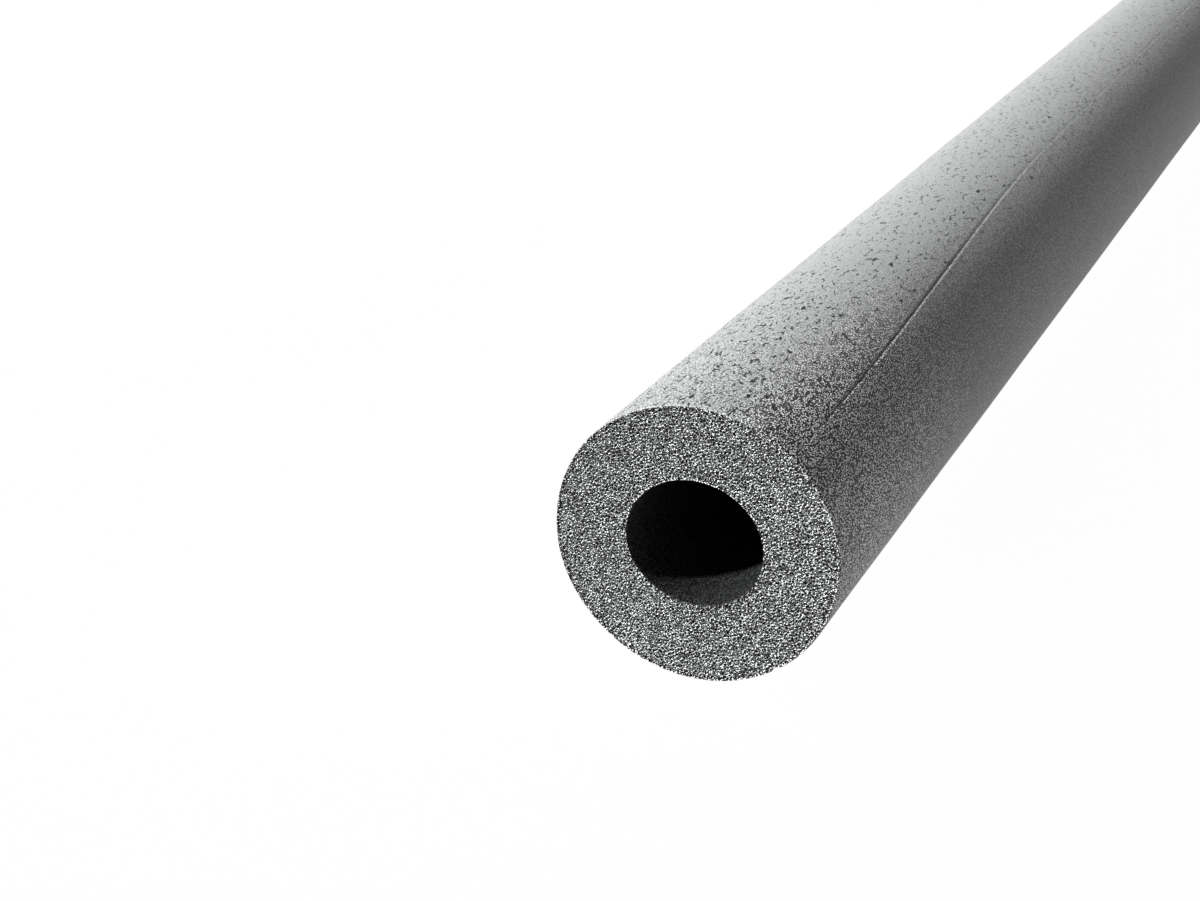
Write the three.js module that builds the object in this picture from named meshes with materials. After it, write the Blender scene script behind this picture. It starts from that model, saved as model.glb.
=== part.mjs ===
// One stock length of extruded polyethylene foam pipe lagging, lying level on its side.
// Millimetres, +Z up. +X runs along the tube, and the origin is on the middle of its
// underside, so the surface it lies on is z = 0.
import * as THREE from "three";

// Driving dimensions
const tubeLength = 1000;
const boreWidth = 23.2; // the bore is a little wider than high, as the soft foam settles
const boreHeight = 21.4;
const sideWall = 12.65;
const topWall = 12.6;
const bottomWall = 13.55; // thicker than the top, as the bore sits slightly high

// A multiple of four, so that a facet lies level along the underside of the tube.
const facetsAround = 96;

const foamGrey = 0x7b7e80;

// The outside of the tube, from the bore and its walls
const tubeWidth = boreWidth + 2 * sideWall;
const tubeHeight = boreHeight + bottomWall + topWall;
const boreCentre = bottomWall + boreHeight / 2;

// Half a facet turns every vertex off the lowest point and puts a flat there.
const halfFacet = Math.PI / facetsAround;

// Points of an oval whose lowest and highest facets are level, and touch its full height
function ovalPoints(width, height, centreHeight) {
  const reach = 1 / Math.cos(halfFacet);
  const points = [];
  for (let i = 0; i < facetsAround; i++) {
    const angle = (2 * i + 1) * halfFacet;
    const across = (width / 2) * reach * Math.cos(angle);
    const up = (height / 2) * reach * Math.sin(angle);
    points.push(new THREE.Vector2(across, centreHeight + up));
  }
  return points;
}

// The section: an oval ring, drawn with x across the tube and y up
function tubeSection() {
  const section = new THREE.Shape(ovalPoints(tubeWidth, tubeHeight, tubeHeight / 2));
  section.holes.push(new THREE.Path(ovalPoints(boreWidth, boreHeight, boreCentre)));
  return section;
}

// The section pushed along the tube, then turned so that its depth runs along +X
function foamTube() {
  const geometry = new THREE.ExtrudeGeometry(tubeSection(), {
    depth: tubeLength,
    steps: 1,
    bevelEnabled: false,
  });
  geometry.translate(0, 0, -tubeLength / 2);
  geometry.rotateX(Math.PI / 2);
  geometry.rotateZ(Math.PI / 2);
  const foam = new THREE.MeshStandardMaterial({
    color: foamGrey,
    roughness: 0.85,
    metalness: 0,
  });
  const tube = new THREE.Mesh(geometry, foam);
  tube.name = "foam_tube";
  return tube;
}

const lagging = new THREE.Group();
lagging.add(foamTube());

export default lagging;
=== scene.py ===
import math
import random

import bmesh
import bpy
from mathutils import Matrix, Quaternion, Vector, noise
from mathutils.geometry import delaunay_2d_cdt


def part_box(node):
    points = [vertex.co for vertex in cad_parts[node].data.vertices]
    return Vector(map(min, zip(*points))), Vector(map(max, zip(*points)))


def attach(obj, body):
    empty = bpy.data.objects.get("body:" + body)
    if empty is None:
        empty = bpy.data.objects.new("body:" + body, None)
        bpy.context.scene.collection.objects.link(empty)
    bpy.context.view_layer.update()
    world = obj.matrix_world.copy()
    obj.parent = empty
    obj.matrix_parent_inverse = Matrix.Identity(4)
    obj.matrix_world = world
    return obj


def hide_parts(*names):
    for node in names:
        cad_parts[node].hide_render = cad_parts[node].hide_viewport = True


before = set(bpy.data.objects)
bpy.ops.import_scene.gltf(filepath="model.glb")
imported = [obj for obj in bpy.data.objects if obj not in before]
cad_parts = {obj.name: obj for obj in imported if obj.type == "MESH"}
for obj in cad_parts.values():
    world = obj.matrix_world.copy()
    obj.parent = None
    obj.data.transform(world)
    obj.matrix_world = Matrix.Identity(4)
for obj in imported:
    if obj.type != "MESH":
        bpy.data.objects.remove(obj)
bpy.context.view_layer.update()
mm = 0.001
samePlace = 1e-6  # m, points nearer than this are one point
tubeLow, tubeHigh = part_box("foam_tube")
tubeLength = tubeHigh.x - tubeLow.x
print("frame loaded, tube", [round(side / mm, 1) for side in tubeHigh - tubeLow], "mm")


# the photo's view of the near cut end
viewpoint = {
    "fromNearEnd": (-253.39, -99.34, 155.73),  # mm, from the foot of the cut end
    "yaw": 24.55,  # degrees from +X towards +Y
    "pitch": 23.03,  # degrees down
    "roll": 0.45,  # degrees
    "lens": 57.12,  # mm
    "sensorWidth": 36,  # mm
    "clip": (0.01, 20),  # m, the nearest and the furthest that shows
}


def placeCamera():
    camera = bpy.data.objects.new("camera", bpy.data.cameras.new("camera"))
    bpy.context.scene.collection.objects.link(camera)
    bpy.context.scene.camera = camera
    camera.data.lens = viewpoint["lens"]
    camera.data.sensor_width = viewpoint["sensorWidth"]
    camera.data.clip_start, camera.data.clip_end = viewpoint["clip"]
    yaw, pitch = math.radians(viewpoint["yaw"]), math.radians(viewpoint["pitch"])
    ahead = Vector((math.cos(yaw) * math.cos(pitch), math.sin(yaw) * math.cos(pitch), -math.sin(pitch)))
    roll = Quaternion((0, 0, 1), math.radians(viewpoint["roll"]))
    camera.rotation_mode = "QUATERNION"
    camera.rotation_quaternion = ahead.to_track_quat("-Z", "Y") @ roll
    camera.location = Vector(viewpoint["fromNearEnd"]) * mm + Vector((tubeLow.x, 0, tubeLow.z))


placeCamera()
print("camera placed")


class Oval:  # one outline of the tube's section
    def __init__(self, low, high):
        self.halfWidth = (high.y - low.y) / 2
        self.halfHeight = (high.z - low.z) / 2
        self.y = (high.y + low.y) / 2
        self.z = (high.z + low.z) / 2

    def at(self, angle, proud=0.0):  # angle from +Y, up over the top
        return (self.y + (self.halfWidth + proud) * math.cos(angle),
                self.z + (self.halfHeight + proud) * math.sin(angle))

    def share(self, y, z, proud=0.0):  # 1 on the outline, less inside it
        return math.hypot((y - self.y) / (self.halfWidth + proud), (z - self.z) / (self.halfHeight + proud))


def boreBox():  # the box of the CAD tube's inner points
    middle = (tubeLow + tubeHigh) / 2
    midWall = 0.36 * (tubeHigh.z - tubeLow.z)  # the points on the bore are nearer the middle than this
    inner = [v.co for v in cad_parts["foam_tube"].data.vertices
             if math.hypot(v.co.y - middle.y, v.co.z - middle.z) < midWall]
    ys, zs = [p.y for p in inner], [p.z for p in inner]
    return Vector((tubeLow.x, min(ys), min(zs))), Vector((tubeHigh.x, max(ys), max(zs)))


outside, bore = Oval(tubeLow, tubeHigh), Oval(*boreBox())
skinSlot, cutSlot, boreSlot = 0, 1, 2  # the tube's three finishes

tube = {
    "skinPoints": 216,  # round the outside
    "skinRings": 112,
    "borePoints": 104,
    "boreRings": 40,
    "ringCrowding": 0.75,  # 0 spaces the rings evenly, towards 1 crowds them at the ends
    "edgeRounding": 0.14 * mm,
    "edgeRing": 0.35 * mm,  # how far behind the cut the skin reaches its full size
    "edgeRaggedness": 0.07 * mm,
    "waveHeight": 0.09 * mm,  # slow unevenness of the extruded skin
    "waveLength": 22 * mm,
    "waveStretch": 0.5,  # the extruder draws the waves out along the tube
    "fineWave": 0.3,  # share of a second wave, a third as long
    "seamStart": 130,  # degrees from +Y, up over the top
    "seamTwist": 16,  # degrees
    "seamTwistLength": 200 * mm,  # from the near end
    "seamWidth": 0.27 * mm,  # half of it
    "seamColumns": (0, 1, 2.6),  # the points beside the seam, in half widths from it
    "seamDepth": 0.18 * mm,
    "seamLip": 0.07 * mm,
    "lipPaintedLight": 0.8,  # painted light on the lower lip, where the seam's own painted shade is 1
    "seamFadeIn": (6 * mm, 24 * mm),  # from the near end
    "seamFadeOut": (70 * mm, 220 * mm),
    "seamLeft": 0.25,  # of it beyond there
    "nickAngle": 232.6,  # degrees
    "nickWidth": 2.4,  # degrees
    "nickDepth": 0.5 * mm,
    "nickLength": 2.5 * mm,
    "nearSeed": 11,
    "farSeed": 23,
    "cellPitch": 0.62 * mm,  # between the middles of neighbouring foam cells
    "cellJitter": 0.29 * mm,
    "closedEdge": 0.26 * mm,  # no open cells this near the skins
    "cellWall": 0.1 * mm,
    "tightCell": 0.45 * mm,  # smaller cells have half the wall
    "shutCell": 0.3 * mm,  # smaller ones along the rims stay shut
    "cellDepths": (0.22 * mm, 0.28 * mm, 0.34 * mm),
    "rimPaintedLight": 0.3,  # painted light of the cut's two rims, where the cell walls have 1
    "cutRoughness": 0.06 * mm,
    "cutWave": 0.13 * mm,  # the knife's slow wander
    "cutWaveLength": 14 * mm,
    "cutWaveReach": 1 * mm,  # how far behind the cut the skins follow it
    "slitAngle": 255.7,  # degrees
    "slitFrom": 19.0 * mm,  # from the middle of the section
    "slitWidth": 0.17 * mm,  # half of it
    "slitDepth": 0.9 * mm,
}


def eachOnce(elements):  # in their own order, so that every run draws the same random numbers
    return list(dict.fromkeys(elements))


def smoothStep(low, high, value):
    share = min(max((value - low) / (high - low), 0), 1)
    return share * share * (3 - 2 * share)


def seamAngle(along):
    return math.radians(tube["seamStart"] - tube["seamTwist"] * smoothStep(0, tube["seamTwistLength"], along))


def ringPlace(share, rings):  # how far along the tube a ring stands
    ring = round(share * rings)
    if ring in (0, rings):
        return share * tubeLength
    inner = (ring - 1) / (rings - 2)
    along = tubeLength * (inner - tube["ringCrowding"] * math.sin(2 * math.pi * inner) / (2 * math.pi))
    return min(max(along, tube["edgeRing"]), tubeLength - tube["edgeRing"])


def pushTube(bm, turn, points, rings, slot):
    # a ring of radius 1 pushed a length of 1 and cut into rings, for shapeSkin or shapeBore to size
    facingX = Matrix(((0, 0, 1, 0), (1, 0, 0, 0), (0, 1, 0, 0), (0, 0, 0, 1)))
    ring = bmesh.ops.create_circle(bm, cap_ends=False, segments=points, radius=1, matrix=facingX)["verts"]
    for v in ring:
        v[turn] = math.atan2(v.co.z, v.co.y) % (2 * math.pi)
    edges = eachOnce(e for v in ring for e in v.link_edges)
    pushed = bmesh.ops.extrude_edge_only(bm, edges=edges)["geom"]
    farRing = [g for g in pushed if isinstance(g, bmesh.types.BMVert)]
    bmesh.ops.translate(bm, verts=farRing, vec=(1, 0, 0))
    lengthwise = [e for v in farRing for e in v.link_edges if abs(e.verts[0].co.x - e.verts[1].co.x) > 0.5]
    bmesh.ops.subdivide_edges(bm, edges=lengthwise, cuts=rings - 1, use_grid_fill=True)
    made = [f for f in bm.faces if not f.smooth]
    for face in made:
        face.material_index = slot
        face.smooth = True
    return eachOnce(v for f in made for v in f.verts)


def shapeSkin(verts, turn, seamLightShade):
    step = 2 * math.pi / tube["skinPoints"]
    nick, width = math.radians(tube["nickAngle"]), math.radians(tube["nickWidth"])
    for v in verts:
        along = ringPlace(v.co.x, tube["skinRings"])
        off = (v[turn] + math.pi) % (2 * math.pi) - math.pi  # turn from the seam
        column = round(off / step)
        if abs(column) < len(tube["seamColumns"]):
            beside = tube["seamColumns"][abs(column)] * tube["seamWidth"] / outside.halfHeight
            off = math.copysign(beside, off)
        angle = seamAngle(along) + off
        place = Vector((along * tube["waveStretch"], *outside.at(angle)))
        wave = noise.noise(place / tube["waveLength"])
        wave += tube["fineWave"] * noise.noise(3 * place / tube["waveLength"])
        proud = tube["waveHeight"] * wave
        fade = smoothStep(*tube["seamFadeIn"], along)
        fade *= 1 - (1 - tube["seamLeft"]) * smoothStep(*tube["seamFadeOut"], along)
        # painted shade in the seam's groove and painted light on its lower lip, on top of the real groove and
        # lip
        if column == 0:
            proud -= tube["seamDepth"] * fade
            v[seamLightShade] = fade
        if column == 1:
            proud += tube["seamLip"] * fade
            v[seamLightShade] = -tube["lipPaintedLight"] * fade
        if along in (0, tubeLength):
            proud -= tube["edgeRounding"]
            proud += tube["edgeRaggedness"] * noise.noise(place / mm)
        fromNick = abs(angle % (2 * math.pi) - nick)
        if along < tube["nickLength"] and fromNick < width:
            dip = 0.5 + 0.5 * math.cos(math.pi * fromNick / width)
            proud -= tube["nickDepth"] * (1 - along / tube["nickLength"]) * dip
        y, z = outside.at(angle, proud)
        v.co = Vector((tubeLow.x + along, y, max(z, tubeLow.z)))  # flat where it lies on the floor


def shapeBore(verts, turn):
    for v in verts:
        along = ringPlace(v.co.x, tube["boreRings"])
        place = Vector((along * tube["waveStretch"], *bore.at(v[turn])))
        proud = tube["waveHeight"] * noise.noise(place / tube["waveLength"])
        if along in (0, tubeLength):
            proud += tube["edgeRounding"]
        v.co = Vector((tubeLow.x + along, *bore.at(v[turn], proud)))


def scatterCells(seed):
    # the middles of the cells: rows of even steps, each spot moved a little at random
    rng = random.Random(seed)
    pitch, jitter, edge = tube["cellPitch"], tube["cellJitter"], tube["closedEdge"]
    rowGap = pitch * math.sqrt(3) / 2
    spots = []
    for row in range(int(2 * outside.halfHeight / rowGap) + 2):
        for column in range(int(2 * outside.halfWidth / pitch) + 2):
            y = tubeLow.y + (column + 0.5 * (row % 2)) * pitch + rng.uniform(-jitter, jitter)
            z = tubeLow.z + row * rowGap + rng.uniform(-jitter, jitter)
            if outside.share(y, z, -edge) < 1 < bore.share(y, z, edge):
                spots.append(Vector((y, z)))
    return spots


def cutEnd(bm, rims, layers, facing, seed):
    # triangles between scattered points, turned into the cells round those points
    x = rims[0][0].co.x
    outer, inner = ([v.co.yz for v in sorted(rim, key=lambda v: v[layers["turn"]])] for rim in rims)
    links = [(i, (i + 1) % len(outer)) for i in range(len(outer))]
    links += [(len(outer) + i, len(outer) + (i + 1) % len(inner)) for i in range(len(inner))]
    spots = outer + inner + scatterCells(seed)
    trianglesInside, margin = 1, samePlace / 10
    flat, _, triangles, origins, *_ = delaunay_2d_cdt(spots, links, [], trianglesInside, margin)
    boreRim = range(len(outer), len(outer) + len(inner))
    points = [bm.verts.new((x, p.x, p.y)) for p in flat]
    faces = []
    for corners in triangles:
        if not all(origins[i][0] in boreRim for i in corners):  # the rest span the open bore
            faces.append(bm.faces.new([points[i] for i in corners[::facing]]))
    edges = eachOnce(e for f in faces for e in f.edges if not e.is_boundary)
    middles = eachOnce(v for f in faces for v in f.verts if not v.is_boundary)
    bmesh.ops.poke(bm, faces=faces)
    bmesh.ops.rotate_edges(bm, edges=edges, use_ccw=False)
    bmesh.ops.dissolve_verts(bm, verts=middles)
    openCells(bm, layers, x, facing, random.Random(seed + 1))


def openCells(bm, layers, x, facing, rng):
    # each whole cell becomes a pit between thin walls, with painted light on the walls and painted shade on
    # the pit floors
    cutFaces = [f for f in bm.faces if abs(f.calc_center_median().x - x) < samePlace]
    for face in cutFaces:
        face.material_index = cutSlot
        for v in face.verts:
            v[layers["paintedWallLight"]] = 1
    rim = [f for f in cutFaces if any(v.is_boundary for v in f.verts)]
    for v in eachOnce(v for face in rim for v in face.verts):
        v[layers["paintedWallLight"]] = tube["rimPaintedLight"]
    cells = [f for f in cutFaces if f not in rim]
    for v in eachOnce(v for cell in cells for v in cell.verts):
        v.co.x -= facing * rng.uniform(0, 2) * tube["cutRoughness"]
    bm.normal_update()
    slit = math.radians(tube["slitAngle"])
    pits = {}
    for cell in cells:
        depth = rng.choice(tube["cellDepths"])
        y, z = cell.calc_center_median().yz - Vector((outside.y, outside.z))
        beside = abs(y * math.sin(slit) - z * math.cos(slit))
        outward = y * math.cos(slit) + z * math.sin(slit)
        if facing < 0 and beside < tube["slitWidth"] and outward > tube["slitFrom"]:
            depth = tube["slitDepth"]
        wall = tube["cellWall"] if cell.calc_area() > tube["tightCell"] ** 2 else tube["cellWall"] / 2
        pits.setdefault((wall, depth), []).append(cell)
    rimCells = [f for f in rim if f.calc_area() > tube["shutCell"] ** 2]
    pits.setdefault((tube["cellWall"] / 2, tube["cellDepths"][0]), []).extend(rimCells)
    for (wall, depth), group in pits.items():
        bmesh.ops.inset_individual(bm, faces=group, thickness=wall, depth=-depth, use_even_offset=True)
    # the pit floors get painted shade
    for v in eachOnce(v for cell in cells + rimCells for v in cell.verts):
        v[layers["paintedWallLight"]] = 0
        v.co.x += rng.uniform(-1, 1) * tube["cutRoughness"]
    print("cut end with", len(cells), "open cells")


def wanderCuts(bm):
    reach, length = tube["cutWaveReach"], tube["cutWaveLength"]
    for v in bm.verts:
        depth = max(min(v.co.x - tubeLow.x, tubeHigh.x - v.co.x), 0)
        if depth < reach:
            place = Vector((v.co.x, v.co.y / length, v.co.z / length))
            v.co.x += tube["cutWave"] * (1 - depth / reach) * noise.noise(place)


def buildTube():
    bm = bmesh.new()
    layers = {name: bm.verts.layers.float.new(name) for name in ("turn", "seamLightShade", "paintedWallLight")}
    skin = pushTube(bm, layers["turn"], tube["skinPoints"], tube["skinRings"], skinSlot)
    shapeSkin(skin, layers["turn"], layers["seamLightShade"])
    inside = pushTube(bm, layers["turn"], tube["borePoints"], tube["boreRings"], boreSlot)
    shapeBore(inside, layers["turn"])
    for edge in (e for e in bm.edges if e.is_boundary):
        edge.smooth = False
    print("skins pushed the length of the tube")
    for facing, seed in ((-1, tube["nearSeed"]), (1, tube["farSeed"])):
        atEnd = [v for v in bm.verts if v.is_boundary and v.co.x * facing > 0]
        rims = [[v for v in atEnd if v.link_faces[0].material_index == slot] for slot in (skinSlot, boreSlot)]
        cutEnd(bm, rims, layers, facing, seed)
    bmesh.ops.remove_doubles(bm, verts=[v for v in bm.verts if v.is_boundary], dist=samePlace)
    wanderCuts(bm)
    bmesh.ops.recalc_face_normals(bm, faces=bm.faces)
    print("tube meshed,", sum(len(f.verts) - 2 for f in bm.faces), "triangles,",
          sum(not e.is_manifold for e in bm.edges), "open edges")
    mesh = bpy.data.meshes.new("foam_tube_looks")
    bm.to_mesh(mesh)
    bm.free()
    piece = bpy.data.objects.new("foam_tube_looks", mesh)
    bpy.context.scene.collection.objects.link(piece)
    return piece


foamTube = buildTube()


def linearColour(hexText):
    parts = [int(hexText[i:i + 2], 16) / 255 for i in (1, 3, 5)]
    return [c / 12.92 if c <= 0.04045 else ((c + 0.055) / 1.055) ** 2.4 for c in parts] + [1]


def addNode(tree, kind, values=None, links=None, **settings):
    node = tree.nodes.new(kind)
    for name, setting in settings.items():
        setattr(node, name, setting)
    for socket, value in (values or {}).items():
        node.inputs[socket].default_value = value
    for socket, source in (links or {}).items():
        tree.links.new(source, node.inputs[socket])
    return node


def newMaterial(name):
    material = bpy.data.materials.new(name)
    material.use_nodes = True
    material.node_tree.nodes.clear()
    return material, material.node_tree


def coverFoam(tree, finish, shade, relief):
    # foam from its darkest colour at shade 0, the painted shade of pits and pores, to its pale colour at
    # shade 1, which also carries painted light
    colour = addNode(tree, "ShaderNodeMix",
                     {6: linearColour(finish["shadedPitColour"]), 7: linearColour(finish["paleColour"])},
                     {"Factor": shade}, data_type="RGBA")
    shader = addNode(tree, "ShaderNodeBsdfPrincipled",
                     {"Roughness": finish["roughness"], "Specular IOR Level": finish["sheen"]},
                     {"Base Color": colour.outputs[2], **relief})
    addNode(tree, "ShaderNodeOutputMaterial", links={"Surface": shader.outputs[0]})


skinFinish = {
    # the dark end carries painted shade in pores, creases, seam and flanks
    "shadedPitColour": "#0b0c0c",
    "paleColour": "#e0e2e2",
    "stretch": 0.5,  # the extruder draws every pebble out along the tube
    "pebbleSize": 0.24,  # mm, about the finest grain that shows in the picture
    "pebbleEdge": (0.25, 0.46),  # from the pale pebble to the painted shade of the pore round it, in sizes from its middle
    "poreEdge": (0.62, 0.85),  # from the top's pale ground of painted light to a pore's painted shade
    "creaseSpacing": 1.25,  # mm
    "creaseStretch": 0.7,
    "creaseWidth": 0.08,  # half of it, in spacings
    "bend": 0.9,  # mm, how far the creases wander
    "bendLength": 1.6,  # mm
    "patchSize": 1.1,  # mm, the patches that have creases
    "patchEdge": (0.55, 0.59),  # higher leaves fewer of them
    "reliefHeight": 0.012 * mm,
    "bandMiddle": 5 * mm,  # beside the top, where the skin is smoothest and painted palest
    "creaseReach": (16 * mm, 22 * mm),  # from the band's middle to where the creases die out
    "groundReach": (8 * mm, 17 * mm),  # to where the pale ground of painted light gives way to plain speckle
    "topEvenness": 0.75,  # share of the speckle that turns to a pale ground of painted light with pores of painted shade on top
    # how pale the top's ground is: painted light
    "groundPaintedLight": 0.255,
    "middleEvenness": 0.72,  # share of all speckle that the tube goes without away from its cut ends, where painted light and shade take its place
    "evenBeyond": (18 * mm, 85 * mm),  # from an end
    "paintedEvenShades": (0.2125, 0.08),  # painted light and shade of the even skin: paler near the band, darker low on the flanks
    "paintedShadeReach": (11 * mm, 26 * mm),  # from the band's middle
    # painted shade in the seam's groove, and painted light on its lip
    "seamPaintedShade": 0.75,
    "roughness": 0.55,
    "sheen": 0.25,  # half the surface reflection of plain plastic
}


def pebblesAndCreases(tree, place, fromBand):
    # the skin's height with pebbles, and its shade with painted shade in the pores and a pale ground of
    # painted light, both cut by the same creases, which also paint shade into the colour
    inMm = addNode(tree, "ShaderNodeMapping", {"Scale": (skinFinish["stretch"] / mm, 1 / mm, 1 / mm)},
                   {"Vector": place}).outputs[0]
    pebbles = addNode(tree, "ShaderNodeTexVoronoi", {"Scale": 1 / skinFinish["pebbleSize"]},
                      {"Vector": inMm}).outputs["Distance"]
    pebble = addNode(tree, "ShaderNodeMapRange", {
        "From Min": skinFinish["pebbleEdge"][0], "From Max": skinFinish["pebbleEdge"][1],
        "To Min": 1, "To Max": 0}, {"Value": pebbles})
    paintedLitGround = addNode(tree, "ShaderNodeMapRange", {
        "From Min": skinFinish["poreEdge"][0], "From Max": skinFinish["poreEdge"][1],
        "To Min": skinFinish["groundPaintedLight"], "To Max": 0}, {"Value": pebbles})
    bends = addNode(tree, "ShaderNodeTexNoise", {"Scale": 1 / skinFinish["bendLength"], "Detail": 1},
                    {"Vector": inMm})
    bent = addNode(tree, "ShaderNodeVectorMath", {1: [skinFinish["bend"]] * 3},
                   {0: bends.outputs["Color"], 2: inMm}, operation="MULTIPLY_ADD")
    drawnOut = addNode(tree, "ShaderNodeMapping", {"Scale": (skinFinish["creaseStretch"], 1, 1)},
                       {"Vector": bent.outputs[0]})
    creases = addNode(tree, "ShaderNodeTexVoronoi", {"Scale": 1 / skinFinish["creaseSpacing"]},
                      {"Vector": drawnOut.outputs[0]}, feature="DISTANCE_TO_EDGE")
    line = addNode(tree, "ShaderNodeMapRange", {
        "From Max": skinFinish["creaseWidth"], "To Min": 1, "To Max": 0},
        {"Value": creases.outputs["Distance"]})
    patches = addNode(tree, "ShaderNodeTexNoise", {"Scale": 1 / skinFinish["patchSize"], "Detail": 2},
                      {"Vector": inMm})
    patch = addNode(tree, "ShaderNodeMapRange", {
        "From Min": skinFinish["patchEdge"][0], "From Max": skinFinish["patchEdge"][1]},
        {"Value": patches.outputs[0]})
    band = addNode(tree, "ShaderNodeMapRange", {
        "From Min": skinFinish["creaseReach"][0], "From Max": skinFinish["creaseReach"][1],
        "To Min": -1, "To Max": 0}, {"Value": fromBand})
    depth = addNode(tree, "ShaderNodeMath", links={0: patch.outputs[0], 1: band.outputs[0]},
                    operation="MULTIPLY")
    # the creases sink the relief and paint shade into the colour
    creased = [addNode(tree, "ShaderNodeMath",
                       links={0: line.outputs[0], 1: depth.outputs[0], 2: base.outputs[0]},
                       operation="MULTIPLY_ADD") for base in (pebble, paintedLitGround)]
    return [node.outputs[0] for node in creased]


def extrudedSkin():
    # extruded polyethylene foam: a semi-matt skin of fine pale pebbles with painted shade in the pores
    # between them, with short creases along it that hold painted shade, smoother near the top, painted paler
    # near the top and painted darker low on the flanks
    material, tree = newMaterial("extrudedFoamSkin")
    place = addNode(tree, "ShaderNodeTexCoord").outputs["Object"]
    apart = addNode(tree, "ShaderNodeSeparateXYZ", links={0: place})
    offBand = addNode(tree, "ShaderNodeMath", {1: -skinFinish["bandMiddle"]}, {0: apart.outputs["Y"]},
                      operation="ADD")
    fromBand = addNode(tree, "ShaderNodeMath", links={0: offBand.outputs[0]}, operation="ABSOLUTE").outputs[0]
    fromMiddle = addNode(tree, "ShaderNodeMath", links={0: apart.outputs["X"]}, operation="ABSOLUTE")
    height, paintedLitGround = pebblesAndCreases(tree, place, fromBand)
    bump = addNode(tree, "ShaderNodeBump", {"Distance": skinFinish["reliefHeight"]}, {"Height": height})
    # near the band the speckle turns to the pale ground of painted light
    evenness = addNode(tree, "ShaderNodeMapRange", {
        "From Min": skinFinish["groundReach"][0], "From Max": skinFinish["groundReach"][1],
        "To Min": skinFinish["topEvenness"], "To Max": 0}, {"Value": fromBand})
    speckle = addNode(tree, "ShaderNodeMix", links={"Factor": evenness.outputs[0], "A": height, "B": paintedLitGround})
    # away from the cut ends the speckle gives way to painted light near the band and painted shade low on the
    # flanks
    calm = addNode(tree, "ShaderNodeMapRange", {
        "From Min": tubeLength / 2 - skinFinish["evenBeyond"][1],
        "From Max": tubeLength / 2 - skinFinish["evenBeyond"][0],
        "To Min": skinFinish["middleEvenness"], "To Max": 0}, {"Value": fromMiddle.outputs[0]})
    paintedShades = addNode(tree, "ShaderNodeMapRange", {
        "From Min": skinFinish["paintedShadeReach"][0], "From Max": skinFinish["paintedShadeReach"][1],
        "To Min": skinFinish["paintedEvenShades"][0], "To Max": skinFinish["paintedEvenShades"][1]}, {"Value": fromBand})
    shade = addNode(tree, "ShaderNodeMix", links={
        "Factor": calm.outputs[0], "A": speckle.outputs[0], "B": paintedShades.outputs[0]})
    # the seam's painted shade in its groove and painted light on its lip
    seam = addNode(tree, "ShaderNodeAttribute", attribute_name="seamLightShade")
    seamPaintFactor = addNode(tree, "ShaderNodeMath", {1: -skinFinish["seamPaintedShade"], 2: 1},
                        {0: seam.outputs["Fac"]}, operation="MULTIPLY_ADD")
    light = addNode(tree, "ShaderNodeMath", links={0: shade.outputs[0], 1: seamPaintFactor.outputs[0]},
                    operation="MULTIPLY", use_clamp=True)
    coverFoam(tree, skinFinish, light.outputs[0], {"Normal": bump.outputs[0]})
    return material


cutFinish = {
    # the dark end carries the painted shade in the pits, the pale end the painted light and glints of the
    # walls
    "shadedPitColour": "#040404",
    "paleColour": "#e8eaeb",
    "shredGlintSize": 0.27,  # mm, the torn edges of the cell walls, which carry painted glints
    "shredGlintEdge": (0.24, 0.48),  # from a pale shred with its painted glint to the dark round it, in sizes from its middle
    "shredGlintShades": (1.15, -0.62),  # past 0 and 1, which leaves fewer greys between them
    "wallPaintedLight": 0.9,  # how much painted light the walls get over the painted shade of the pits
    "roughness": 0.45,
    "sheen": 0.4,
}


def knifeCutCells():
    # the same foam cut with a knife: open cups with painted shade inside, between thin torn walls with
    # painted light and painted glints where they catch the light
    material, tree = newMaterial("knifeCutFoamCells")
    # painted light on the cell walls, painted shade on the pit floors
    wallLight = addNode(tree, "ShaderNodeAttribute", attribute_name="paintedWallLight")
    place = addNode(tree, "ShaderNodeTexCoord").outputs["Object"]
    # painted glints on pale torn shreds of the walls, dark between them
    shredGlintCells = addNode(tree, "ShaderNodeTexVoronoi", {"Scale": 1 / (cutFinish["shredGlintSize"] * mm)},
                     {"Vector": place})
    shredGlintShade = addNode(tree, "ShaderNodeMapRange", {
        "From Min": cutFinish["shredGlintEdge"][0], "From Max": cutFinish["shredGlintEdge"][1],
        "To Min": cutFinish["shredGlintShades"][0], "To Max": cutFinish["shredGlintShades"][1]},
        {"Value": shredGlintCells.outputs["Distance"]})
    shade = addNode(tree, "ShaderNodeMath", {1: cutFinish["wallPaintedLight"]},
                    {0: wallLight.outputs["Fac"], 2: shredGlintShade.outputs[0]}, operation="MULTIPLY_ADD", use_clamp=True)
    coverFoam(tree, cutFinish, shade.outputs[0], {})
    return material


boreFinish = {
    # the dark end carries painted shade in the pores
    "shadedPitColour": "#050505",
    "paleColour": "#424445",
    "pebbleSize": 0.3,  # mm
    "pebbleEdge": (0.25, 0.46),
    "roughness": 0.7,
    "sheen": 0.15,
}


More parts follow.
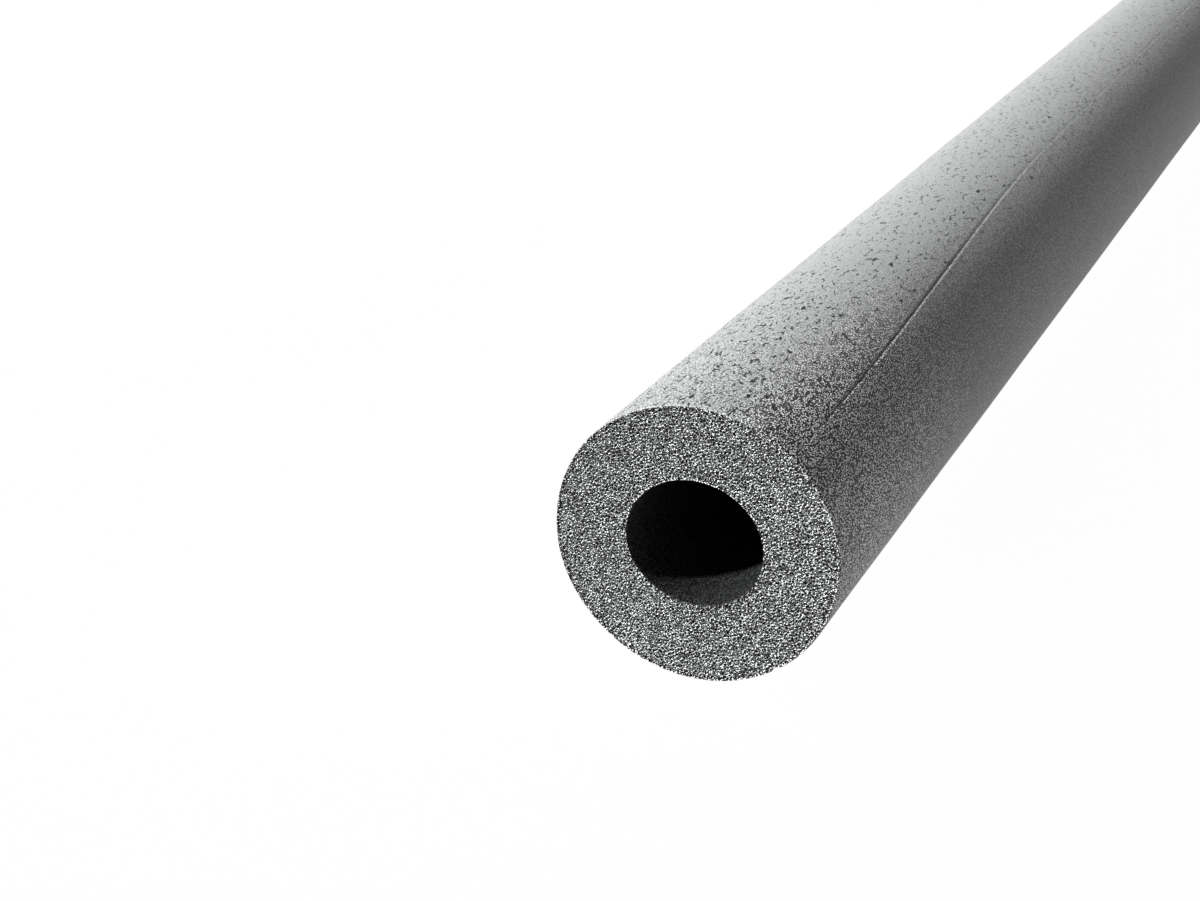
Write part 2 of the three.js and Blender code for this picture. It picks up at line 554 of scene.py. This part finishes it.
def boreSkin():
    # the inner skin: pebbled like the outer one, with painted shade in its pores, and darker all over as
    # painted shade, as little light reaches it
    material, tree = newMaterial("extrudedBoreSkin")
    place = addNode(tree, "ShaderNodeTexCoord").outputs["Object"]
    pebbles = addNode(tree, "ShaderNodeTexVoronoi", {"Scale": 1 / (boreFinish["pebbleSize"] * mm)},
                      {"Vector": place})
    shade = addNode(tree, "ShaderNodeMapRange", {
        "From Min": boreFinish["pebbleEdge"][0], "From Max": boreFinish["pebbleEdge"][1],
        "To Min": 1, "To Max": 0}, {"Value": pebbles.outputs["Distance"]})
    coverFoam(tree, boreFinish, shade.outputs[0], {})
    return material


for material in (extrudedSkin(), knifeCutCells(), boreSkin()):  # in the order of the three slots
    foamTube.data.materials.append(material)
print("foam finishes made")

stage = {
    "floorColour": "#a8a8a8",
    "floorRoughness": 0.9,
    "floorGlow": 0.92,  # lit from below like a light table, so the paper shows white
    "surround": 0.12,  # the white light from all round
    "floorRadius": 6,  # m, out to where the paper sweeps up
    "floorSides": 96,
    "sweepHeight": 1.6,  # m
    "sweepSteps": 8,
    "underTube": 0.02 * mm,  # keeps the paper off the tube's flat underside
}
white = (1, 1, 1, 1)

# both lamps stand to the left, 43 and 50 degrees up as seen along the tube, and light the tube only
lamps = {
    "frontKey": {"towards": (-0.68, 0.731, 0.682), "strength": 8.5, "spread": 6},
    "sideKey": {"towards": (0.15, 0.643, 0.766), "strength": 4.9, "spread": 10},
}


def layFloor():
    # a round sheet of paper whose edge curves up
    bm = bmesh.new()
    rim = bmesh.ops.create_circle(bm, cap_ends=True, segments=stage["floorSides"],
                                  radius=stage["floorRadius"])["verts"]
    bmesh.ops.translate(bm, verts=rim, vec=(0, 0, tubeLow.z - stage["underTube"]))
    raised = bmesh.ops.extrude_edge_only(bm, edges=bm.edges[:])["geom"]
    lifted = [g for g in raised if isinstance(g, bmesh.types.BMVert)]
    bmesh.ops.translate(bm, verts=lifted, vec=(0, 0, stage["sweepHeight"]))
    corner = [e for e in bm.edges if any(len(f.verts) > 4 for f in e.link_faces)]  # round the flat sheet
    bmesh.ops.bevel(bm, geom=corner, offset=stage["sweepHeight"] / 2, affect="EDGES",
                    segments=stage["sweepSteps"], profile=0.5, material=-1)
    print("paper sweep of", len(bm.faces), "faces")
    mesh = bpy.data.meshes.new("floor")
    bm.to_mesh(mesh)
    bm.free()
    floor = bpy.data.objects.new("floor", mesh)
    bpy.context.scene.collection.objects.link(floor)
    material, tree = newMaterial("whitePaper")
    shader = addNode(tree, "ShaderNodeBsdfPrincipled", {
        "Base Color": linearColour(stage["floorColour"]), "Roughness": stage["floorRoughness"],
        "Emission Color": white, "Emission Strength": stage["floorGlow"]})
    addNode(tree, "ShaderNodeOutputMaterial", links={"Surface": shader.outputs[0]})
    material.cycles.emission_sampling = "NONE"  # so large a light needs no aiming, which saves time
    mesh.materials.append(material)


def lightScene():
    world = bpy.data.worlds.new("paleStudio")
    bpy.context.scene.world = world
    world.use_nodes = True
    background = world.node_tree.nodes["Background"]
    background.inputs["Color"].default_value = white
    background.inputs["Strength"].default_value = stage["surround"]
    litByLamps = bpy.data.collections.new("litByLamps")
    litByLamps.objects.link(foamTube)
    for name, setting in lamps.items():
        lamp = bpy.data.objects.new(name, bpy.data.lights.new(name, "SUN"))
        lamp.data.energy = setting["strength"]
        lamp.data.angle = math.radians(setting["spread"])
        lamp.rotation_mode = "QUATERNION"
        lamp.rotation_quaternion = Vector(setting["towards"]).to_track_quat("Z", "Y")
        lamp.light_linking.receiver_collection = litByLamps
        bpy.context.scene.collection.objects.link(lamp)
    bpy.context.scene.view_settings.view_transform = "Standard"


layFloor()
lightScene()
print("floor and light set")

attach(foamTube, "root")
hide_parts("foam_tube")
